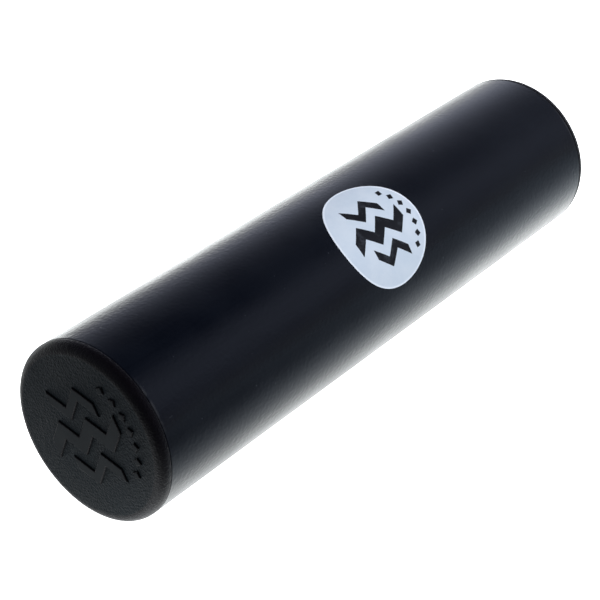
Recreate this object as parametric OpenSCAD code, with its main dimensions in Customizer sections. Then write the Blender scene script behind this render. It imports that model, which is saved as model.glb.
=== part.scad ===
// Ganza shaker: a powder-coated tube closed by two moulded caps, with loose steel shot inside.
// It lies on its side along X, the near cap at -X, and rests on the plane z = 0.

/* [Tube] */
// Outside diameter of the tube
tube_d = 60; // [50:1:76]
// Length of the cut tube, without the caps
tube_len = 228.4; // [180:0.2:300]
// Thickness of the tube's wall
tube_wall = 1.5; // [1:0.1:3]
// Broken edge at the cut ends of the tube
tube_edge = 0.3; // [0.1:0.05:0.6]

/* [Cap face and rim] */
// Radius of the rolled rim round the cap's flat face
rim_r = 3.3; // [2:0.1:5]
// Straight band between the rim and the end of the tube
rim_land = 0.5; // [0.4:0.1:2]
// Chamfer behind the band, which shows as the dark line at the joint
joint_chamfer = 0.3; // [0.1:0.05:0.4]
// Thickness of the cap's face
face_t = 2.4; // [1.6:0.1:3.2]

/* [Cap skirt] */
// Length of the skirt that stands in the bore
skirt_len = 14; // [10:0.5:24]
// Thickness of the skirt's wall
skirt_wall = 2; // [1.4:0.1:3]
// Clearance between the skirt and the bore, all round
skirt_gap = 0.25; // [0.15:0.05:0.4]
// Chamfer that leads the skirt into the bore
skirt_lead = 0.8; // [0.4:0.1:1.2]
// Fillet inside the cap, between the face and the skirt
skirt_fillet = 1.2; // [0.6:0.1:2]
// Number of crush ribs round the skirt
crush_ribs = 12; // [6:1:24]
// Radius of each crush rib
crush_rib_r = 0.8; // [0.6:0.05:1]
// Length that each crush rib tapers over at its inner end
crush_rib_taper = 2.5; // [1:0.1:4]

/* [Cap webs] */
// Number of radial webs behind the face
web_count = 6; // [3:1:12]
// Thickness of each web
web_t = 1.4; // [1:0.1:2]
// Height of the webs above the inside of the face
web_h = 3.6; // [2:0.2:6]
// Radius of the ring that ties the webs together, to the middle of its wall
web_ring_r = 14; // [10:0.5:16]
// Radius of the boss in the middle
boss_r = 3.5; // [2.5:0.1:5]
// Height that the boss stands above the webs
boss_rise = 0.8; // [0.4:0.1:1.5]

/* [Label] */
// Diameter of the round label, measured along the tube's surface
label_d = 40; // [20:1:44]
// Thickness of the label with its adhesive
label_t = 0.08; // [0.05:0.01:0.12]
// Angle of the label's middle from straight up, towards -Y
label_angle = 39; // [0:1:90]
// Distance of the label's middle from the tube's middle, towards the far cap
label_shift = 1.5; // [-20:0.5:20]

/* [Shot] */
// Diameter of each ball of steel shot
shot_d = 4.5; // [3:0.1:5]
// Clearance between neighbouring balls, and between the balls and the bore
shot_gap = 0.12; // [0.1:0.01:0.3]
// Number of balls in each loose row
row_balls = 11; // [6:1:16]

/* [Hidden] */
$fn = 96;

// Overrun of every cut past the surface that it opens
overrun = 0.5;

// Tube and caps
tube_r = tube_d / 2;
bore_r = tube_r - tube_wall;
half_tube = tube_len / 2;
flange_t = rim_r + rim_land;
skirt_r = bore_r - skirt_gap;
skirt_in_r = skirt_r - skirt_wall;
cap_len = flange_t + skirt_len;
half_all = half_tube + flange_t;

// Label: half the angle that it wraps, and the share of its rim that one chord takes
label_half_wrap = (label_d / 2) / tube_r * 180 / PI;
label_reach = tube_d;
label_chord_share = 1 / 72;

// Shot: rows lie in three layers that nest, each ball in the hollow between two below.
// The second layer's rows touch each other, which sets the step between the rows at the wall.
shot_r = shot_d / 2;
shot_pitch = shot_d + shot_gap;
layer_rise = shot_pitch * sqrt(3) / 2;
wall_layer_r = bore_r - shot_gap - shot_r;
lane_step = 2 * atan(shot_pitch / 2 / (wall_layer_r - layer_rise));
second_layer_r = shot_pitch / 2 / sin(lane_step / 2);
third_layer_r = wall_layer_r - 2 * layer_rise;

// Each loose row as [radius of its layer, places round from straight down]
row_lanes = [
    for (k = [-3, -2, -1, 1, 2, 3]) [wall_layer_r, k],
    for (k = [-2.5:1:2.5]) [second_layer_r, k],
    for (k = [-2, 0, 2]) [third_layer_r, k]
];

// Balls that fill the bottom of the bore between the two skirts
bed_room = tube_len - 2 * skirt_len - 2 * shot_gap;
bed_balls = floor((bed_room - shot_d) / shot_pitch) + 1;

// Turns a shape made along +Z to lie along +X on the axis of the tube
module along_axis() {
    translate([0, 0, tube_r]) rotate([0, 90, 0]) children();
}

// Half section of the tube's wall, with its cut edges broken outside
module tube_section() {
    difference() {
        translate([bore_r, -half_tube]) square([tube_wall, tube_len]);
        for (end = [-1, 1])
            translate([tube_r, end * half_tube]) circle(r = tube_edge, $fn = 4);
    }
}

module tube() {
    color("#1a1d26") along_axis() rotate_extrude() tube_section();
}

// Half section of the face with its rolled rim and the band that meets the tube
module flange_section() {
    difference() {
        union() {
            square([tube_r - rim_r, flange_t]);
            translate([0, rim_r]) square([tube_r, rim_land]);
            intersection() {
                translate([tube_r - rim_r, rim_r]) circle(r = rim_r);
                square([tube_r, flange_t]);
            }
        }
        translate([tube_r, flange_t]) circle(r = joint_chamfer, $fn = 4);
    }
}

// Half section of the room inside the cap, open towards the tube
module cup_section() {
    translate([0, face_t + skirt_fillet]) square([skirt_in_r, cap_len]);
    translate([0, face_t]) square([skirt_in_r - skirt_fillet, cap_len]);
    translate([skirt_in_r - skirt_fillet, face_t + skirt_fillet]) circle(r = skirt_fillet);
}

// Half section of the skirt, led in by a chamfer at its open end
module skirt_section() {
    polygon([
        [0, rim_r],
        [skirt_r, rim_r],
        [skirt_r, cap_len - skirt_lead],
        [skirt_r - skirt_lead, cap_len],
        [0, cap_len]
    ]);
}

module cap_shell() {
    rotate_extrude() difference() {
        union() {
            flange_section();
            skirt_section();
        }
        cup_section();
    }
}

// One crush rib, which touches the bore and tapers into the skirt at its inner end
module crush_rib() {
    rib_len = skirt_len - skirt_lead;
    translate([bore_r - crush_rib_r, 0, flange_t]) rotate_extrude() polygon([
        [0, -overrun],
        [crush_rib_r, -overrun],
        [crush_rib_r, rib_len - crush_rib_taper],
        [crush_rib_r - 2 * skirt_gap, rib_len],
        [0, rib_len]
    ]);
}

// Plan of the webs that keep the face flat: a ring and radial webs that run into the skirt
module web_plan() {
    difference() {
        circle(r = web_ring_r + web_t / 2);
        circle(r = web_ring_r - web_t / 2);
    }
    for (i = [0 : web_count - 1]) rotate(i * 360 / web_count)
        translate([0, -web_t / 2]) square([skirt_in_r + skirt_wall / 2, web_t]);
}

// The webs with the boss in their middle, rooted in the face
module cap_webs() {
    translate([0, 0, face_t - overrun]) {
        linear_extrude(height = web_h + overrun) web_plan();
        cylinder(r = boss_r, h = web_h + boss_rise + overrun);
    }
}

// Moulded cap with its face at z = 0 and its skirt towards +Z
module cap() {
    cap_shell();
    for (i = [0 : crush_ribs - 1]) rotate([0, 0, (i + 0.5) * 360 / crush_ribs]) crush_rib();
    cap_webs();
}

module near_cap() {
    color("#282c2f") translate([-half_all, 0, 0]) along_axis() cap();
}

module far_cap() {
    color("#282c2f") mirror([1, 0, 0]) translate([-half_all, 0, 0]) along_axis() cap();
}

// Outline of the label seen from straight above its middle: a circle on the unrolled surface
function label_point(turn) = [
    label_d / 2 * cos(turn),
    tube_r * sin(label_half_wrap * sin(turn))
];

// Thin round sheet that follows the tube
module label() {
    color("#c5d0e0") translate([label_shift, 0, tube_r]) rotate([label_angle, 0, 0]) intersection() {
        rotate([0, 90, 0]) difference() {
            cylinder(r = tube_r + label_t, h = label_reach, center = true);
            cylinder(r = tube_r, h = label_reach + 2 * overrun, center = true);
        }
        linear_extrude(height = label_reach)
            polygon([for (i = [0 : label_chord_share : 1 - label_chord_share / 2]) label_point(i * 360)]);
    }
}

// Row of balls along X, centred, in the lane at this layer and place round from straight down
module shot_lane(layer_r, place, balls) {
    turn = place * lane_step;
    first = -(balls - 1) / 2 * shot_pitch;
    translate([first, layer_r * sin(turn), tube_r - layer_r * cos(turn)])
        for (i = [0 : balls - 1]) translate([i * shot_pitch, 0, 0]) sphere(r = shot_r);
}

module shot_bed() {
    color("#8f9296") shot_lane(wall_layer_r, 0, bed_balls);
}

module shot_row(index) {
    lane = row_lanes[index - 1];
    color("#a3a6aa") shot_lane(lane[0], lane[1], row_balls);
}

tube();
near_cap();
far_cap();
label();
shot_bed();
shot_row(1);  // shot_row_01
shot_row(2);  // shot_row_02
shot_row(3);  // shot_row_03
shot_row(4);  // shot_row_04
shot_row(5);  // shot_row_05
shot_row(6);  // shot_row_06
shot_row(7);  // shot_row_07
shot_row(8);  // shot_row_08
shot_row(9);  // shot_row_09
shot_row(10);  // shot_row_10
shot_row(11);  // shot_row_11
shot_row(12);  // shot_row_12
shot_row(13);  // shot_row_13
shot_row(14);  // shot_row_14
shot_row(15);  // shot_row_15
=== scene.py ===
import math
import bmesh
import bpy
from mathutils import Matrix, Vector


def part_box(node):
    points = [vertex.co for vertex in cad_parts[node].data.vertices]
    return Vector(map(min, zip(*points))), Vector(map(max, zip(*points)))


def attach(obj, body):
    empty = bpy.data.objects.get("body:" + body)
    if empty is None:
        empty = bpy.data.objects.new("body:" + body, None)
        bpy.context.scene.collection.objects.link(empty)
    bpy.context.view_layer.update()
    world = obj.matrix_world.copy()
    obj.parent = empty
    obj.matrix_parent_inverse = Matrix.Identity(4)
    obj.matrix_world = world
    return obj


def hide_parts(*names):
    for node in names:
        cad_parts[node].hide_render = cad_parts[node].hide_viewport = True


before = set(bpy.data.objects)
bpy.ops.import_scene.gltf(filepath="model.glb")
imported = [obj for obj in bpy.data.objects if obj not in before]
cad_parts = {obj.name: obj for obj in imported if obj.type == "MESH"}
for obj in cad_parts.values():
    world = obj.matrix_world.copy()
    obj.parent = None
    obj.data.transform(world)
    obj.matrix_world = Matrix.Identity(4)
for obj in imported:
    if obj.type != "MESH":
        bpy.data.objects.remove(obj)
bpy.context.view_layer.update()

# driving sizes, read from the frame
tubeLow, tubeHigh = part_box("tube")
axisHeight = (tubeLow.z + tubeHigh.z) / 2
tubeRadius = axisHeight
halfTube = tubeHigh.x
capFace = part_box("near_cap")[0].x

# tolerances for picking by place and normal, in metres and as cosines
tiny = 0.00002
doubles = 0.000001
squareOn = 0.9
flatOn = 0.999
creased = 0.5

alongX = (0, math.pi / 2, 0)  # lays a shape made along Z along the tube
facingFront = (math.pi / 2, 0, 0)  # stands a flat shape up in the XZ plane


# helpers for selecting and shaping

def clearSelection():
    if bpy.context.mode != "OBJECT":
        bpy.ops.object.mode_set(mode="OBJECT")
    bpy.ops.object.select_all(action="DESELECT")


def work(piece):
    clearSelection()
    piece.select_set(True)
    bpy.context.view_layer.objects.active = piece


def rename(piece, name):
    piece.name = name
    piece.data.name = name


def added(name):
    # names the primitive just added and puts its place into its mesh
    piece = bpy.context.object
    rename(piece, name)
    work(piece)
    bpy.ops.object.transform_apply(location=True, rotation=True, scale=True)
    return piece


def addCylinder(name, sides, radius, start, end, height):
    # closed cylinder along X, between two places
    bpy.ops.mesh.primitive_cylinder_add(
        vertices=sides, radius=radius, depth=end - start,
        location=((start + end) / 2, 0, height), rotation=alongX)
    return added(name)


def pick(piece, kind, test):
    # into edit mode, with only the faces or edges that pass the test
    work(piece)
    bpy.ops.object.mode_set(mode="EDIT")
    bpy.ops.mesh.select_mode(type=kind)
    bpy.ops.mesh.select_all(action="DESELECT")
    shape = bmesh.from_edit_mesh(piece.data)
    for part in shape.faces if kind == "FACE" else shape.edges:
        if test(part):
            part.select_set(True)
    shape.select_flush_mode()
    bmesh.update_edit_mesh(piece.data)


def applyModifier(piece, kind, **settings):
    work(piece)
    modifier = piece.modifiers.new(kind.lower(), kind)
    for key, value in settings.items():
        setattr(modifier, key, value)
    bpy.ops.object.modifier_apply(modifier=modifier.name)


def turnAndPlace(piece, turn=(0, 0, 0), place=(0, 0, 0)):
    work(piece)
    piece.rotation_euler = turn
    piece.location = place
    bpy.ops.object.transform_apply(location=True, rotation=True, scale=True)


def copyOf(piece, name):
    work(piece)
    bpy.ops.object.duplicate()
    rename(bpy.context.object, name)
    return bpy.context.object


def joined(pieces, name):
    clearSelection()
    for piece in pieces:
        piece.select_set(True)
    bpy.context.view_layer.objects.active = pieces[0]
    bpy.ops.object.join()
    rename(pieces[0], name)
    return pieces[0]


def smoothShape(piece, angle=32):
    # merges doubles, turns the faces out, and keeps flat faces flat beside the rounded edges
    work(piece)
    bpy.ops.object.mode_set(mode="EDIT")
    bpy.ops.mesh.select_all(action="SELECT")
    bpy.ops.mesh.remove_doubles(threshold=doubles)
    bpy.ops.mesh.normals_make_consistent(inside=False)
    bpy.ops.object.mode_set(mode="OBJECT")
    bpy.ops.object.shade_smooth_by_angle(angle=math.radians(angle))
    applyModifier(piece, "WEIGHTED_NORMAL", keep_sharp=True)


def paint(piece, *materials):
    piece.data.materials.clear()
    for material in materials:
        piece.data.materials.append(material)


def paintPicked(piece, index):
    # gives the faces selected in edit mode the material with this number
    piece.active_material_index = index
    bpy.ops.object.material_slot_assign()
    bpy.ops.object.mode_set(mode="OBJECT")


def reach(point):
    # distance from the tube's axis
    return math.hypot(point.y, point.z - axisHeight)


def anyFace(face):
    return True


def endFace(face):
    # faces that look along the tube, either way
    return abs(face.normal.x) > squareOn


def ringAt(x, radius):
    # edges of the circle of this radius round the axis, in the plane at x
    def test(edge):
        return all(abs(c.co.x - x) < tiny and abs(reach(c.co) - radius) < tiny for c in edge.verts)
    return test


def discAt(x, radius):
    # flat faces across the axis at x that reach no further out than this radius
    def test(face):
        return all(abs(c.co.x - x) < tiny and reach(c.co) < radius + tiny for c in face.verts)
    return test


def push(x=0, y=0, z=0):
    bpy.ops.mesh.extrude_region_move(TRANSFORM_OT_translate={"value": (x, y, z)})


# helpers for materials

def setInput(tree, socket, value):
    if isinstance(value, bpy.types.NodeSocket):
        tree.links.new(value, socket)
    else:
        socket.default_value = value


def addNode(tree, kind, inputs=None, **settings):
    node = tree.nodes.new(kind)
    for key, value in settings.items():
        setattr(node, key, value)
    for key, value in (inputs or {}).items():
        setInput(tree, node.inputs[key], value)
    return node


def newMaterial(name):
    material = bpy.data.materials.new(name)
    material.use_nodes = True
    return material, material.node_tree


def setShader(tree, **sockets):
    # colour, roughness and the like, with spaces in the names for the underscores
    shader = tree.nodes["Principled BSDF"]
    for key, value in sockets.items():
        setInput(tree, shader.inputs[key.replace("_", " ")], value)


def mathNode(tree, operation, first, second=0.0, clamp=False):
    node = addNode(tree, "ShaderNodeMath", {0: first, 1: second}, operation=operation, use_clamp=clamp)
    return node.outputs[0]


def product(tree, first, *others):
    for other in others:
        first = mathNode(tree, "MULTIPLY", first, other)
    return first


def total(tree, first, *others):
    for other in others:
        first = mathNode(tree, "ADD", first, other)
    return first


def blend(tree, share, first, second):
    # the first value where the share is 0, the second where it is 1
    rest = mathNode(tree, "SUBTRACT", 1, share)
    return total(tree, product(tree, first, rest), product(tree, second, share))


def mixColour(tree, share, first, second):
    node = addNode(tree, "ShaderNodeMix", data_type="RGBA")
    for index, value in ((0, share), (6, first), (7, second)):  # the factor and the colour sockets
        setInput(tree, node.inputs[index], value)
    return node.outputs[2]


def mapRange(tree, value, span, levels=(0, 1), kind="SMOOTHSTEP"):
    # goes from one level to the other as the value goes from one end of the span to the other
    node = addNode(tree, "ShaderNodeMapRange", {
        "Value": value, "From Min": span[0], "From Max": span[1],
        "To Min": levels[0], "To Max": levels[1],
    }, interpolation_type=kind)
    return node.outputs["Result"]


def spot(tree, level, *masks):
    # factor that is 1, and this level where all the masks are 1
    return mapRange(tree, product(tree, *masks), (0, 1), (1, level), kind="LINEAR")


def moved(span, distance):
    return [end + distance for end in span]


def objectPlace(tree, scale=(1, 1, 1)):
    place = addNode(tree, "ShaderNodeTexCoord").outputs["Object"]
    return addNode(tree, "ShaderNodeMapping", {"Vector": place, "Scale": scale}).outputs["Vector"]


def split(tree, vector):
    parts = addNode(tree, "ShaderNodeSeparateXYZ", {0: vector})
    return parts.outputs["X"], parts.outputs["Y"], parts.outputs["Z"]


def noise(tree, vector, scale, detail=2.0, roughness=0.5):
    node = addNode(tree, "ShaderNodeTexNoise", {
        "Vector": vector, "Scale": scale, "Detail": detail, "Roughness": roughness,
    })
    return node.outputs["Fac"]


def bump(tree, height, strength, distance):
    inputs = {"Strength": strength, "Distance": distance, "Height": height}
    return addNode(tree, "ShaderNodeBump", inputs).outputs["Normal"]


# a mask's span gives the places or noise levels where it is 0 and where it is 1
coatFinish = {
    "deep": (0.0017, 0.0026, 0.0056, 1),
    "light": (0.0027, 0.0039, 0.0074, 1),
    "speck": (0.020, 0.023, 0.030, 1),
    "scuff": (0.034, 0.037, 0.044, 1),
    # painted highlight: the lighter colour of the end edges where the coat's sheen is lit
    "bareEdge": (0.020, 0.020, 0.023, 1),
    "ior": 1.3,
    "cloud": (45, 3),
    "cloudSpan": (0.3, 0.7),
    "streakStretch": (90, 1400, 1400),
    "streak": (1, 2),
    "toneSpan": (0.75, 1.25),
    "speckScale": 420,
    "speckSpan": (0.13, 0.05),
    "speckPlaces": (260, 1),
    "speckLimit": 0.64,
    "scuffStretch": (260, 900, 900),
    "scuffDashes": (1, 3),
    "scuffSpan": (0.7, 0.82),
    "scuffFromEnd": (0.012, 0.002),
    # the wear noise and the spans below place the painted highlight on the end edges
    "wear": (400, 3),
    "wearSpan": (0.3, 0.6),
    "wearToEnd": (-0.0012, -0.0005),
    "wearStart": (-0.015, -0.021),
    "wearStop": (-0.029, -0.025),
    "roughness": (0.20, 0.27),
    "grain": (1500, 2, 0.55),
    "fineGrain": (3600, 1),
    "wave": (800, 2),
    "waveShare": 5.2,
    "waveTopShare": 2.6,
    "waveBackShare": 9.2,
    "waveBackSpan": (0, 0.01),
    "waveTopSpan": (0.048, 0.056),
    "streakShare": 0.8,
    "pitShare": 2.5,
    "reliefStrength": 0.35,
    "reliefDepth": 0.00004,
}


def makeCoat():
    # satin powder coat: orange peel, calm along the top and stronger behind it, faint lengthwise
    # streaks, a few pitted specks, scuffs by the near cap, and a painted highlight along the end edges
    # at the front
    finish = coatFinish
    material, tree = newMaterial("tubeCoat")
    place = objectPlace(tree)
    along, across, height = split(tree, place)

    cloud = noise(tree, place, *finish["cloud"])
    streak = noise(tree, objectPlace(tree, finish["streakStretch"]), *finish["streak"])
    tone = mapRange(tree, total(tree, cloud, streak), finish["toneSpan"])
    colour = mixColour(tree, tone, finish["deep"], finish["light"])

    speck = addNode(tree, "ShaderNodeTexVoronoi", {"Vector": place, "Scale": finish["speckScale"]})
    places = noise(tree, place, *finish["speckPlaces"])
    chosen = mathNode(tree, "GREATER_THAN", places, finish["speckLimit"])
    pit = product(tree, mapRange(tree, speck.outputs["Distance"], finish["speckSpan"]), chosen)
    colour = mixColour(tree, pit, colour, finish["speck"])

    dashes = noise(tree, objectPlace(tree, finish["scuffStretch"]), *finish["scuffDashes"])
    scuff = product(
        tree,
        mapRange(tree, dashes, finish["scuffSpan"]),
        mapRange(tree, along, moved(finish["scuffFromEnd"], -halfTube)))
    colour = mixColour(tree, scuff, colour, finish["scuff"])

    # painted highlight: a lighter line on the end edges, only in the front band where the sheen is lit
    paintedEdgeHighlight = product(
        tree,
        mapRange(tree, mathNode(tree, "ABSOLUTE", along), moved(finish["wearToEnd"], halfTube)),
        mapRange(tree, across, finish["wearStart"]),
        mapRange(tree, across, finish["wearStop"]),
        mapRange(tree, noise(tree, place, *finish["wear"]), finish["wearSpan"]))
    colour = mixColour(tree, paintedEdgeHighlight, colour, finish["bareEdge"])

    upper = mapRange(
        tree, across, finish["waveBackSpan"], (finish["waveTopShare"], finish["waveBackShare"]))
    share = mapRange(tree, height, finish["waveTopSpan"], (finish["waveShare"], upper))
    peel = total(
        tree,
        noise(tree, place, *finish["grain"]),
        product(tree, streak, finish["streakShare"]),
        noise(tree, place, *finish["fineGrain"]),
        product(tree, noise(tree, place, *finish["wave"]), share),
        product(tree, pit, -finish["pitShare"]))

    setShader(
        tree, IOR=finish["ior"], Base_Color=colour,
        Roughness=mapRange(tree, cloud, finish["cloudSpan"], finish["roughness"]),
        Normal=bump(tree, peel, finish["reliefStrength"], finish["reliefDepth"]))
    return material


# what the three finishes of a cap share, and then each finish; the rim's is the same plastic made
# darker, painted shade
plasticGrain = {
    "cloud": (70, 4, 0.6),
    "cloudSpan": (0.3, 0.7),
    "cloudShare": 0.35,
    "fine": (2600, 3, 0.6),
    "fineSpan": (0.36, 0.64),
    "fineShare": 0.65,
    "fineRelief": 0.8,
    "pebbleSmoothness": 0.5,
    "creaseInside": (-0.0007, -0.0001),
    "creaseOutside": (0.0003, 0),
    "wear": (240, 3),
    "wearSpan": (0.4, 0.75),
    "wearShare": 0.45,
    "roughnessSpread": (-0.05, 0.05),
    "reliefStrength": 0.5,
}
smoothFinish = {
    "dark": (0.0030, 0.0058, 0.0074, 1),
    "light": (0.0052, 0.0086, 0.0108, 1),
    "worn": (0.030, 0.034, 0.036, 1),
    "pebbleScale": 1500,
    "pebbleDepth": 0.00002,
    "ior": 1.2,
    "roughness": 0.45,
}
faceFinish = {
    "dark": (0.0024, 0.0050, 0.0066, 1),
    "light": (0.0155, 0.0208, 0.0242, 1),
    "worn": (0.048, 0.052, 0.052, 1),
    "pebbleScale": 1300,
    "pebbleDepth": 0.0006,
    "ior": 1.2,
    "roughness": 0.55,
}
# painted shade: the same plastic made darker for the rolled rim and the motif's side walls
rimShadedFinish = {
    "dark": (0.0022, 0.0017, 0.0028, 1),
    "light": (0.0050, 0.0040, 0.0054, 1),
    "worn": (0.020, 0.020, 0.020, 1),
    "pebbleScale": 1900,
    "pebbleDepth": 0.0003,
    "ior": 1.23,
    "roughness": 0.43,
}


def makePlastic(name, finish, faceRadius):
    # moulded plastic: pebbled by the mould, cloudy, and rubbed a little along the crease of the face
    grain = plasticGrain
    material, tree = newMaterial(name)
    place = objectPlace(tree)
    across, height = split(tree, place)[1:]
    above = mathNode(tree, "SUBTRACT", height, axisHeight)
    radius = mathNode(tree, "SQRT", total(
        tree, mathNode(tree, "POWER", across, 2), mathNode(tree, "POWER", above, 2)))

    pebble = addNode(tree, "ShaderNodeTexVoronoi", {
        "Vector": place, "Scale": finish["pebbleScale"], "Smoothness": grain["pebbleSmoothness"],
    }, feature="SMOOTH_F1").outputs["Distance"]
    fine = noise(tree, place, *grain["fine"])
    cloud = noise(tree, place, *grain["cloud"])
    tone = total(
        tree,
        mapRange(tree, cloud, grain["cloudSpan"], (0, grain["cloudShare"])),
        mapRange(tree, fine, grain["fineSpan"], (0, grain["fineShare"])))
    colour = mixColour(tree, tone, finish["dark"], finish["light"])

    wear = noise(tree, place, *grain["wear"])
    worn = product(
        tree,
        mapRange(tree, radius, moved(grain["creaseInside"], faceRadius)),
        mapRange(tree, radius, moved(grain["creaseOutside"], faceRadius)),
        mapRange(tree, wear, grain["wearSpan"], (0, grain["wearShare"])))
    colour = mixColour(tree, worn, colour, finish["worn"])

    relief = total(tree, pebble, product(tree, fine, grain["fineRelief"]))
    dull = moved(grain["roughnessSpread"], finish["roughness"])
    setShader(
        tree, IOR=finish["ior"], Base_Color=colour,
        Roughness=mapRange(tree, cloud, grain["cloudSpan"], dull),
        Normal=bump(tree, relief, grain["reliefStrength"], finish["pebbleDepth"]))
    return material


vinylFinish = {
    "white": (0.635, 0.69, 0.76, 1),
    "shade": (0.585, 0.65, 0.73, 1),
    "rim": (0.80, 0.84, 0.90, 1),
    "rimSpan": (0.478, 0.49),
    "mottle": (130, 4, 0.6),
    "mottleSpan": (0.35, 0.65),
    "ior": 1.3,
    "roughness": 0.3,
    "dimples": (900, 2),
    "reliefStrength": 0.15,
    "reliefDepth": 0.00002,
}


def makeVinyl():
    # glossy pale vinyl, slightly mottled, lighter along its cut rim, read from its own flat UV map
    finish = vinylFinish
    material, tree = newMaterial("labelVinyl")
    flat = addNode(tree, "ShaderNodeUVMap", uv_map="UVMap").outputs["UV"]
    middle = (0.5, 0.5, 0)
    away = addNode(tree, "ShaderNodeVectorMath", {0: flat, 1: middle}, operation="DISTANCE")
    rim = mapRange(tree, away.outputs["Value"], finish["rimSpan"])
    place = objectPlace(tree)
    mottle = mapRange(tree, noise(tree, place, *finish["mottle"]), finish["mottleSpan"])
    colour = mixColour(tree, mottle, finish["shade"], finish["white"])
    dimples = noise(tree, place, *finish["dimples"])
    setShader(
        tree, IOR=finish["ior"], Roughness=finish["roughness"],
        Base_Color=mixColour(tree, rim, colour, finish["rim"]),
        Normal=bump(tree, dimples, finish["reliefStrength"], finish["reliefDepth"]))
    return material


# two tones that a noise mixes, each with its roughness: the print and the shot
inkFinish = {
    "first": (0.0065, 0.0065, 0.0085, 1),
    "second": (0.028, 0.030, 0.036, 1),
    "patches": (330, 4, 0.65),
    "patchSpan": (0.5, 0.72),
    "roughness": (0.32, 0.5),
    "grain": (1200, 2),
    "reliefStrength": 0.2,
    "reliefDepth": 0.00002,
    "ior": 1.3,
    "metallic": 0.0,
}
steelFinish = {
    "first": (0.38, 0.39, 0.40, 1),
    "second": (0.56, 0.57, 0.58, 1),
    "patches": (900, 4, 0.6),
    "patchSpan": (0.35, 0.65),
    "roughness": (0.38, 0.2),
    "grain": (4000, 3),
    "reliefStrength": 0.15,
    "reliefDepth": 0.00003,
    "ior": 1.5,
    "metallic": 1.0,
}


def makeTwoTone(name, finish):
    # screen-printed black that is thin in places, or tumbled steel with dull patches
    material, tree = newMaterial(name)
    place = objectPlace(tree)
    patch = mapRange(tree, noise(tree, place, *finish["patches"]), finish["patchSpan"])
    grain = noise(tree, place, *finish["grain"])
    setShader(
        tree, IOR=finish["ior"], Metallic=finish["metallic"],
        Base_Color=mixColour(tree, patch, finish["first"], finish["second"]),
        Roughness=mapRange(tree, patch, (0, 1), finish["roughness"]),
        Normal=bump(tree, grain, finish["reliefStrength"], finish["reliefDepth"]))
    return material


tubeSizes = {
    "sides": 192,
    "wall": 0.0015,
    "edge": 0.0003,
    "edgeSegments": 3,
}


def makeTube():
    tube = addCylinder("tubeShell", tubeSizes["sides"], tubeRadius, -halfTube, halfTube, axisHeight)
    pick(tube, "FACE", endFace)
    bpy.ops.mesh.inset(thickness=tubeSizes["wall"])
    bpy.ops.mesh.bridge_edge_loops()
    for x in (-halfTube, halfTube):
        pick(tube, "EDGE", ringAt(x, tubeRadius))
        bpy.ops.mesh.bevel(offset=tubeSizes["edge"], segments=tubeSizes["edgeSegments"])
    smoothShape(tube)
    paint(tube, makeCoat())
    return tube


# the motif is shared by the label and the caps
motifSizes = {
    "stroke": 0.0050,
    "step": 0.0052,
    "rise": 0.0046,
    "segments": 5,
    "outerStroke": 0.0036,
    "outerSegments": 3,
    "outerPlace": 0.0086,
    "dotCorners": 4,
    "dotRadius": 0.0013,
    "dotRing": 0.0163,
    "dotCount": 7,
    "dotSpread": 14,
}


def makeZigzag(name, middle, segments, stroke):
    # flat zigzag ribbon in the XZ plane: one slanted piece, its end edge extruded on and on
    step = motifSizes["step"]
    rise = motifSizes["rise"] * (1 if segments % 4 == 1 else -1)
    start = -step * segments / 2
    bpy.ops.mesh.primitive_plane_add(size=1, rotation=facingFront)
    bpy.context.object.scale = (step, stroke, 1)
    bpy.context.object.location = (start + step / 2, 0, middle)
    ribbon = added(name)
    pick(ribbon, "EDGE", lambda edge: all(c.co.x < start + tiny for c in edge.verts))
    bpy.ops.transform.translate(value=(0, 0, -rise / 2))
    pick(ribbon, "EDGE", lambda edge: all(c.co.x > start + step - tiny for c in edge.verts))
    bpy.ops.transform.translate(value=(0, 0, rise / 2))
    for i in range(1, segments):
        push(step, 0, -rise if i % 2 else rise)
    clearSelection()
    return ribbon


def makeMotif():
    # three zigzags and an arc of diamonds
    outer = motifSizes["outerPlace"]
    parts = [
        makeZigzag("motif", 0, motifSizes["segments"], motifSizes["stroke"]),
        makeZigzag("motifUpper", outer, motifSizes["outerSegments"], motifSizes["outerStroke"]),
        makeZigzag("motifLower", -outer, motifSizes["outerSegments"], motifSizes["outerStroke"]),
    ]
    ring = motifSizes["dotRing"]
    for i in range(motifSizes["dotCount"]):
        turn = math.radians((i - (motifSizes["dotCount"] - 1) / 2) * motifSizes["dotSpread"])
        bpy.ops.mesh.primitive_circle_add(
            vertices=motifSizes["dotCorners"], radius=motifSizes["dotRadius"], fill_type="NGON",
            location=(ring * math.cos(turn), 0, ring * math.sin(turn)),
            rotation=(math.pi / 2, -turn, 0))
        parts.append(added("motifDot"))
    return joined(parts, "motif")


capSizes = {
    "rim": 0.0033,
    "rimSegments": 12,
    "backChamfer": 0.0003,
    "backSegments": 2,
    "faceThickness": 0.0024,
    "skirtLength": 0.014,
    "skirtWall": 0.002,
    "skirtGap": 0.00025,
    "lead": 0.0008,
    "fillet": 0.0012,
    "filletSegments": 5,
    "ribs": 12,
    "ribSides": 24,
    "ribRadius": 0.0008,
    "ribTaper": 0.0025,
    "ribRoot": 0.0005,
    "webBars": 3,
    "webThickness": 0.0014,
    "webHeight": 0.0036,
    "webIntoSkirt": 0.001,
    "webRing": 0.014,
    "webRingSides": 96,
    "bossRadius": 0.0035,
    "bossSides": 48,
    "bossRise": 0.0008,
    "bossEdge": 0.0004,
    "bossSegments": 2,
    "motifRise": 0.0006,
    "motifRoot": 0.0005,
    "motifEdge": 0.0004,
    "motifSegments": 4,
    "motifScale": 1.25,
    "motifTurn": 62,
}

capTip = capFace - capSizes["motifRise"]
faceRadius = tubeRadius - capSizes["rim"]
boreRadius = tubeRadius - tubeSizes["wall"]
skirtRadius = boreRadius - capSizes["skirtGap"]
cupRadius = skirtRadius - capSizes["skirtWall"]
flangeBack = -halfTube
skirtEnd = flangeBack + capSizes["skirtLength"]
cupFloor = capFace + capSizes["faceThickness"]


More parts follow.
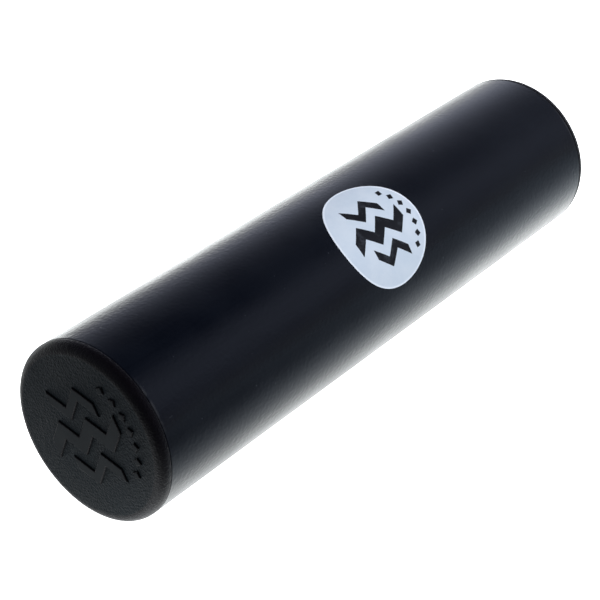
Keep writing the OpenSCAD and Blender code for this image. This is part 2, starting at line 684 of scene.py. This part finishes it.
def makeCapShell():
    # solid disc, its skirt drawn out of the back and the cup pushed back in
    cap = addCylinder("nearCap", tubeSizes["sides"], tubeRadius, capFace, flangeBack, axisHeight)
    pick(cap, "FACE", discAt(flangeBack, tubeRadius))
    bpy.ops.mesh.inset(thickness=tubeRadius - skirtRadius)
    push(capSizes["skirtLength"])
    pick(cap, "EDGE", ringAt(skirtEnd, skirtRadius))
    bpy.ops.mesh.bevel(offset=capSizes["lead"], segments=1)
    pick(cap, "FACE", discAt(skirtEnd, skirtRadius))
    bpy.ops.mesh.inset(thickness=capSizes["skirtWall"] - capSizes["lead"])
    push(cupFloor - skirtEnd)
    pick(cap, "EDGE", ringAt(cupFloor, cupRadius))
    bpy.ops.mesh.bevel(offset=capSizes["fillet"], segments=capSizes["filletSegments"])
    pick(cap, "EDGE", ringAt(capFace, tubeRadius))
    bpy.ops.mesh.bevel(offset=capSizes["rim"], segments=capSizes["rimSegments"])
    pick(cap, "EDGE", ringAt(flangeBack, tubeRadius))
    bpy.ops.mesh.bevel(offset=capSizes["backChamfer"], segments=capSizes["backSegments"])
    clearSelection()
    return cap


def makeWebs():
    # ring, bars across and a boss, all rooted in the cap's face
    root = capFace + capSizes["faceThickness"] / 2
    top = cupFloor + capSizes["webHeight"]
    thickness = capSizes["webThickness"]
    ringRadius = capSizes["webRing"] + thickness / 2
    ring = addCylinder("webRing", capSizes["webRingSides"], ringRadius, root, top, axisHeight)
    pick(ring, "FACE", endFace)
    bpy.ops.mesh.inset(thickness=thickness)
    bpy.ops.mesh.bridge_edge_loops()
    clearSelection()
    webs = [ring]
    barLength = 2 * (cupRadius + capSizes["webIntoSkirt"])
    for i in range(capSizes["webBars"]):
        bpy.ops.mesh.primitive_cube_add(size=1, scale=(top - root, barLength, thickness))
        bar = added("webBar")
        turn = math.radians(90 + i * 180 / capSizes["webBars"])
        turnAndPlace(bar, (turn, 0, 0), ((root + top) / 2, 0, axisHeight))
        webs.append(bar)
    bossTop = top + capSizes["bossRise"]
    bossRadius = capSizes["bossRadius"]
    boss = addCylinder("webBoss", capSizes["bossSides"], bossRadius, root, bossTop, axisHeight)
    pick(boss, "EDGE", ringAt(bossTop, bossRadius))
    bpy.ops.mesh.bevel(offset=capSizes["bossEdge"], segments=capSizes["bossSegments"])
    clearSelection()
    webs.append(boss)
    return webs


def makeRibs():
    # crush ribs round the skirt, tapered at their inner ends
    ribEnd = skirtEnd - capSizes["lead"]
    straightEnd = ribEnd - capSizes["ribTaper"]
    start = flangeBack - capSizes["ribRoot"]
    radius = capSizes["ribRadius"]
    rib = addCylinder("crushRib", capSizes["ribSides"], radius, start, straightEnd, 0)
    pick(rib, "FACE", lambda face: face.normal.x > squareOn)
    push(capSizes["ribTaper"])
    slim = 1 - 2 * capSizes["skirtGap"] / radius
    bpy.ops.transform.resize(value=(1, slim, slim), center_override=(ribEnd, 0, 0))
    turnAndPlace(rib, place=(0, 0, boreRadius - radius))
    ribs = []
    for i in range(capSizes["ribs"]):
        twin = copyOf(rib, "crushRibTwin")
        turn = math.radians((i + 0.5) * 360 / capSizes["ribs"])
        turnAndPlace(twin, (turn, 0, 0), (0, 0, axisHeight))
        ribs.append(twin)
    bpy.data.objects.remove(rib)
    return ribs


def makeStamp(motif):
    # the motif as a slab on the near cap's face, rooted in it
    thickness = capSizes["motifRise"] + capSizes["motifRoot"]
    stamp = copyOf(motif, "capStamp")
    stamp.scale = (capSizes["motifScale"], 1, capSizes["motifScale"])
    turnAndPlace(stamp)
    applyModifier(stamp, "SOLIDIFY", thickness=thickness, offset=0)
    turnAndPlace(stamp, (0, 0, -math.pi / 2))
    turn = math.radians(capSizes["motifTurn"] - 90)
    turnAndPlace(stamp, (turn, 0, 0), (capTip + thickness / 2, 0, axisHeight))
    return stamp


def unite(piece, tool):
    applyModifier(piece, "BOOLEAN", object=tool, operation="UNION", solver="EXACT")
    bpy.data.objects.remove(tool)


def motifEdge(edge):
    # sharp edges round the top of the raised motif
    sides = edge.link_faces
    top = all(abs(c.co.x - capTip) < tiny for c in edge.verts)
    return top and len(sides) == 2 and sides[0].normal.dot(sides[1].normal) < creased


def shadedRimAndWalls(face):
    # the rolled rim and the side walls of the motif, which take the darker copy of the plastic:
    # painted shade
    middle = face.calc_center_median()
    sloped = face.normal.x > -flatOn
    onRim = middle.x < flangeBack and reach(middle) > faceRadius
    return sloped and (onRim or middle.x < capFace - tiny)


def makeCap(motif):
    # the motif stands proud of the grained face, with a smooth top and rounded edges
    cap = makeCapShell()
    for tool in makeWebs():
        unite(cap, tool)
    unite(cap, joined(makeRibs(), "crushRibs"))
    print("cap: shell, webs and ribs")
    unite(cap, makeStamp(motif))
    pick(cap, "EDGE", motifEdge)
    bpy.ops.mesh.bevel(offset=capSizes["motifEdge"], segments=capSizes["motifSegments"])
    smoothShape(cap)
    paint(
        cap,
        makePlastic("capSmooth", smoothFinish, faceRadius),
        makePlastic("capFace", faceFinish, faceRadius),
        makePlastic("capRim", rimShadedFinish, faceRadius))
    pick(cap, "FACE", discAt(capFace, tubeRadius))
    paintPicked(cap, 1)
    # painted shade: the rim and the motif's walls take the darker copy of the plastic
    pick(cap, "FACE", shadedRimAndWalls)
    paintPicked(cap, 2)
    print("cap: motif and finish")
    return cap


labelSizes = {
    "corners": 160,
    "sheet": 0.00006,
    "print": 0.000018,
    "strip": 0.001,
    "angle": 39,
}

labelLow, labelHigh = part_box("label")
labelMiddle = (labelLow.x + labelHigh.x) / 2
labelRadius = (labelHigh.x - labelLow.x) / 2


def cutInStrips(piece):
    # lengthwise cuts, so that the flat sheet can bend round the tube
    count = int(labelRadius / labelSizes["strip"])
    for i in range(-count + 1, count):
        pick(piece, "FACE", anyFace)
        bpy.ops.mesh.bisect(plane_co=(0, 0, i * labelSizes["strip"]), plane_no=(0, 0, 1))
    clearSelection()


def wrapRoundTube(piece):
    heights = [c.co.z for c in piece.data.vertices]
    wrap = (max(heights) - min(heights)) / tubeRadius
    applyModifier(piece, "SIMPLE_DEFORM", deform_method="BEND", deform_axis="X", angle=wrap)
    turnAndPlace(piece, place=(0, -tubeRadius, 0))
    turn = math.radians(labelSizes["angle"] - 90)
    turnAndPlace(piece, (turn, 0, 0), (labelMiddle, 0, axisHeight))


def makeLabel():
    bpy.ops.mesh.primitive_circle_add(
        vertices=labelSizes["corners"], radius=labelRadius, fill_type="NGON", rotation=facingFront)
    label = added("roundLabel")
    cutInStrips(label)
    applyModifier(label, "SOLIDIFY", thickness=labelSizes["sheet"], offset=1)
    wrapRoundTube(label)
    smoothShape(label)
    paint(label, makeVinyl())
    return label


def makePrint(motif):
    artwork = copyOf(motif, "labelPrint")
    cutInStrips(artwork)
    applyModifier(artwork, "SOLIDIFY", thickness=labelSizes["print"], offset=1)
    turnAndPlace(artwork, place=(0, -labelSizes["sheet"], 0))
    wrapRoundTube(artwork)
    smoothShape(artwork)
    paint(artwork, makeTwoTone("printInk", inkFinish))
    return artwork


shotSizes = {
    "bedBalls": 43,
    "rowBalls": 11,
    "cuts": 2,  # cuts across each side of the cube that a ball starts as
}


def makeShotRow(node, count, steel):
    # balls of a few dozen faces, one shaped and the rest of the row copied from it
    low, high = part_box(node)
    radius = (high.z - low.z) / 2
    pitch = (high.x - low.x - 2 * radius) / (count - 1)
    bpy.ops.mesh.primitive_cube_add(size=2 * radius)
    row = added(node.replace("_", "") + "Balls")
    pick(row, "FACE", anyFace)
    bpy.ops.mesh.subdivide(number_cuts=shotSizes["cuts"])
    applyModifier(row, "CAST", cast_type="SPHERE", factor=1, use_radius_as_size=False, size=radius)
    turnAndPlace(row, place=(low.x + radius, (low.y + high.y) / 2, (low.z + high.z) / 2))
    applyModifier(row, "ARRAY", count=count, use_relative_offset=False, use_constant_offset=True,
                  constant_offset_displace=(pitch, 0, 0))
    work(row)
    bpy.ops.object.shade_smooth()
    paint(row, steel)
    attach(row, node)
    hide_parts(node)


camera = {
    "place": (-0.40505, -0.3056, 0.3329),
    "turn": (58.32, 0, -51.8),
    "lens": 104.4,
}
bpy.ops.object.camera_add(
    location=camera["place"], rotation=[math.radians(a) for a in camera["turn"]])
bpy.context.object.data.lens = camera["lens"]
bpy.context.scene.camera = bpy.context.object
print("camera placed")

tube = makeTube()
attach(tube, "shell")
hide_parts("tube")
print("tube made")

motif = makeMotif()
nearCap = makeCap(motif)
farCap = copyOf(nearCap, "farCap")
turnAndPlace(farCap, (0, 0, math.pi))
for cap, node in ((nearCap, "near_cap"), (farCap, "far_cap")):
    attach(cap, "shell")
    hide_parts(node)
print("caps made")

label = makeLabel()
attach(label, "shell")
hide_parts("label")
labelPrint = makePrint(motif)
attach(labelPrint, "shell")
bpy.data.objects.remove(motif)
print("label made")

steel = makeTwoTone("shotSteel", steelFinish)
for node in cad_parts:
    if node.startswith("shot_"):
        makeShotRow(node, shotSizes["bedBalls" if node == "shot_bed" else "rowBalls"], steel)
print("shot made")


# glow that the floor shows only to the object: each pair is a span of places and its levels
floorGlow = {
    "level": 1.9,
    "edge": 0.031,
    "fall": 0.030,
    "along": ((-0.15, 0.17), (0.9525, 1.3845)),
    "underTube": ((-0.033, -0.019), (1, 0.83)),
    "nearEnd": ((-0.12, -0.06), (1.25, 1)),
    "slantFrom": 0.03,
    "slant": ((0.4, 1.2), (1.12, 0.83)),
    "behind": ((0, 0.2), (1, 1.25)),
    "farBehind": ((0.22, 0.85), (1, 0.36)),
    "front": ((0, 0.25), (0.14, 0.46)),
    "capLevel": 1.5,
    "capFall": 0.07,
    "capAcross": ((-0.12, 0.12), (0.8, 1.18)),
    "capFront": ((-0.02, 0.005), (1.4, 0.85)),
    "capClose": ((-0.137, -0.121), (1, 0.78)),
    "capBand": (-0.01, 0.01),
    "cornerAlong": (-0.1, -0.112),
    "cornerAcross": (-0.02, -0.045),
    "cornerLevel": 0.85,
    "footAlong": (-0.108, -0.114),
    "footOuter": (-0.037, -0.027),
    "footInner": (-0.008, -0.018),
    "footLevel": 1.6,
    "nearTint": (0.968, 1.0, 1.0, 1),
    "farTint": (0.79, 0.95, 1.1, 1),
    "capTint": (0.95, 1.0, 1.04, 1),
}


def makeFloorGlow(tree):
    # what the object mirrors: bright beside and behind it, dim in front and away from the near cap
    glow = floorGlow
    x, y = split(tree, addNode(tree, "ShaderNodeTexCoord").outputs["Object"])[:2]
    past = mathNode(tree, "SUBTRACT", product(tree, y, -1), glow["edge"])
    past = mathNode(tree, "MAXIMUM", past, 0)
    fall = mathNode(tree, "EXPONENT", mathNode(tree, "DIVIDE", past, -glow["fall"]))

    underTube = product(
        tree,
        mapRange(tree, x, *glow["along"], kind="LINEAR"),
        mapRange(tree, y, *glow["underTube"]),
        mapRange(tree, x, *glow["nearEnd"]))
    slant = mathNode(tree, "DIVIDE", x, mathNode(tree, "MAXIMUM", y, glow["slantFrom"]))
    level = blend(
        tree, mapRange(tree, y, (glow["slantFrom"], 0)),
        mapRange(tree, slant, *glow["slant"]), underTube)
    beside = product(
        tree, fall, level, glow["level"],
        mapRange(tree, y, *glow["behind"]),
        mapRange(tree, y, *glow["farBehind"]))
    beside = total(tree, beside, mapRange(tree, x, *glow["front"], kind="LINEAR"))

    away = mathNode(tree, "MAXIMUM", mathNode(tree, "SUBTRACT", capFace, x), 0)
    beforeCap = product(
        tree, fall, glow["capLevel"],
        mathNode(tree, "EXPONENT", mathNode(tree, "DIVIDE", away, -glow["capFall"])),
        mapRange(tree, y, *glow["capAcross"]),
        mapRange(tree, y, *glow["capFront"]),
        mapRange(tree, x, *glow["capClose"]))

    side = mapRange(tree, x, moved(glow["capBand"], capFace))
    corner = spot(
        tree, glow["cornerLevel"],
        mapRange(tree, x, glow["cornerAlong"]), mapRange(tree, y, glow["cornerAcross"]))
    foot = spot(
        tree, glow["footLevel"], mapRange(tree, x, glow["footAlong"]),
        mapRange(tree, y, glow["footOuter"]), mapRange(tree, y, glow["footInner"]))
    strength = product(tree, blend(tree, side, beforeCap, beside), corner, foot)
    tint = mixColour(tree, fall, glow["farTint"], glow["nearTint"])
    return strength, mixColour(tree, side, glow["capTint"], tint)


floorLook = {
    "size": 8,
    "roughness": 0.8,
    "seen": (0.8, 0.8, 0.8, 1),
    "mirrored": (0.1, 0.1, 0.1, 1),
    "white": (1, 1, 1, 1),
}


def makeFloor():
    clearSelection()
    bpy.ops.mesh.primitive_plane_add(size=floorLook["size"])
    floor = bpy.context.object
    floor.name = "studioFloor"
    material, tree = newMaterial("paleFloor")
    direct = addNode(tree, "ShaderNodeLightPath").outputs["Is Camera Ray"]
    glow, tint = makeFloorGlow(tree)
    setShader(
        tree, Roughness=floorLook["roughness"],
        Base_Color=mixColour(tree, direct, floorLook["mirrored"], floorLook["seen"]),
        Emission_Color=mixColour(tree, direct, tint, floorLook["white"]),
        Emission_Strength=mathNode(tree, "MAXIMUM", direct, glow))
    paint(floor, material)


keyLook = {
    "place": (0.12, -0.38, 0.57),
    "size": 0.22,
    "power": 3.9,
    "colour": (0.91, 0.95, 1.0),
}


def makeLight():
    # lights the label and the grain, and casts no streak of its own on the gloss
    bpy.ops.object.light_add(type="AREA", location=keyLook["place"])
    key = bpy.context.object
    key.name = "keyLight"
    key.visible_glossy = False
    key.data.shape = "DISK"
    key.data.size = keyLook["size"]
    key.data.energy = keyLook["power"]
    key.data.color = keyLook["colour"]
    target = (0, 0, axisHeight)
    away = [a - b for a, b in zip(keyLook["place"], target)]
    flat = math.hypot(away[0], away[1])
    key.rotation_euler = (math.atan2(flat, away[2]), 0, math.atan2(away[0], -away[1]))


# spans and levels by direction: along is X, across is Y and rise is Z
roomLook = {
    "backWay": (0.55, 0.83, 0),
    "backSpan": (0.2, 0.75),
    "sweepTop": 0.78,
    "sweepFall": 1.35,
    "sweepLevel": 1.7,
    "sweepLean": ((0.5, 0.8), (0.4, 1.525)),
    "sweepMost": 1.4,
    "sweepLeast": 0.08,
    "sweepLeft": ((-0.2, 0.45), (0.5, 1)),
    "frontLevel": 0.40,
    "frontRise": (0.8, 0.55),
    "asideAcross": (-0.19, -0.38),
    "asideRise": (0.9, 0.78),
    "beforeCap": ((-0.2, 0.5), (0.2, 1.3)),
    "beforeCapSpan": (0.15, 0.58),
    "softboxWay": (0.61, -0.6, 0.52),
    "softboxSpan": (0.95, 1.0),
    "softboxLevel": 0.3,
    "tintRise": (0, 0.3),
    "lowTint": (0.98, 0.99, 1.03, 1),
    "highTint": (0.855, 0.92, 1.15, 1),
    "seen": (1, 1, 1, 1),
    "seenLevel": 1.0,
}


def towards(tree, way, target):
    node = addNode(tree, "ShaderNodeVectorMath", {0: way, 1: target}, operation="DOT_PRODUCT")
    return node.outputs["Value"]


def makeWorld():
    # dark room with a pale sweep low behind the object; the camera itself sees a pale backdrop
    look = roomLook
    world = bpy.data.worlds.new("studioRoom")
    bpy.context.scene.world = world
    world.use_nodes = True
    tree = world.node_tree
    tree.nodes.clear()
    way = addNode(tree, "ShaderNodeTexCoord").outputs["Generated"]
    along, across, rise = split(tree, way)
    back = mapRange(tree, towards(tree, way, look["backWay"]), look["backSpan"])

    low = mathNode(tree, "DIVIDE", rise, look["sweepTop"])
    low = mathNode(tree, "SUBTRACT", 1, low, clamp=True)
    sweep = product(
        tree, look["sweepLevel"],
        mathNode(tree, "POWER", low, look["sweepFall"]),
        mapRange(tree, along, *look["sweepLean"], kind="LINEAR"))
    sweep = mathNode(tree, "MINIMUM", sweep, look["sweepMost"])
    sweep = total(tree, sweep, look["sweepLeast"])
    sweep = product(tree, sweep, back, mapRange(tree, along, *look["sweepLeft"]))

    aside = product(
        tree, mapRange(tree, across, look["asideAcross"]), mapRange(tree, rise, look["asideRise"]))
    beforeCap = mapRange(tree, across, *look["beforeCap"])
    front = product(
        tree, look["frontLevel"],
        mathNode(tree, "MAXIMUM", mapRange(tree, rise, look["frontRise"]), aside),
        mathNode(tree, "SUBTRACT", 1, back),
        mapRange(tree, along, look["beforeCapSpan"], (beforeCap, 1)))

    softbox = mapRange(tree, towards(tree, way, look["softboxWay"]), look["softboxSpan"])
    glow = total(tree, sweep, front, product(tree, softbox, look["softboxLevel"]))
    tint = mixColour(tree, mapRange(tree, rise, look["tintRise"]), look["lowTint"], look["highTint"])
    room = addNode(tree, "ShaderNodeBackground", {"Color": tint, "Strength": glow})
    pale = {"Color": look["seen"], "Strength": look["seenLevel"]}
    seen = addNode(tree, "ShaderNodeBackground", pale)
    direct = addNode(tree, "ShaderNodeLightPath").outputs["Is Camera Ray"]
    both = {0: direct, 1: room.outputs[0], 2: seen.outputs[0]}
    surface = addNode(tree, "ShaderNodeMixShader", both).outputs[0]
    addNode(tree, "ShaderNodeOutputWorld", {"Surface": surface})


makeFloor()
makeLight()
makeWorld()
bpy.context.scene.view_settings.view_transform = "Standard"
bpy.context.scene.view_settings.look = "None"
print("floor and light made")
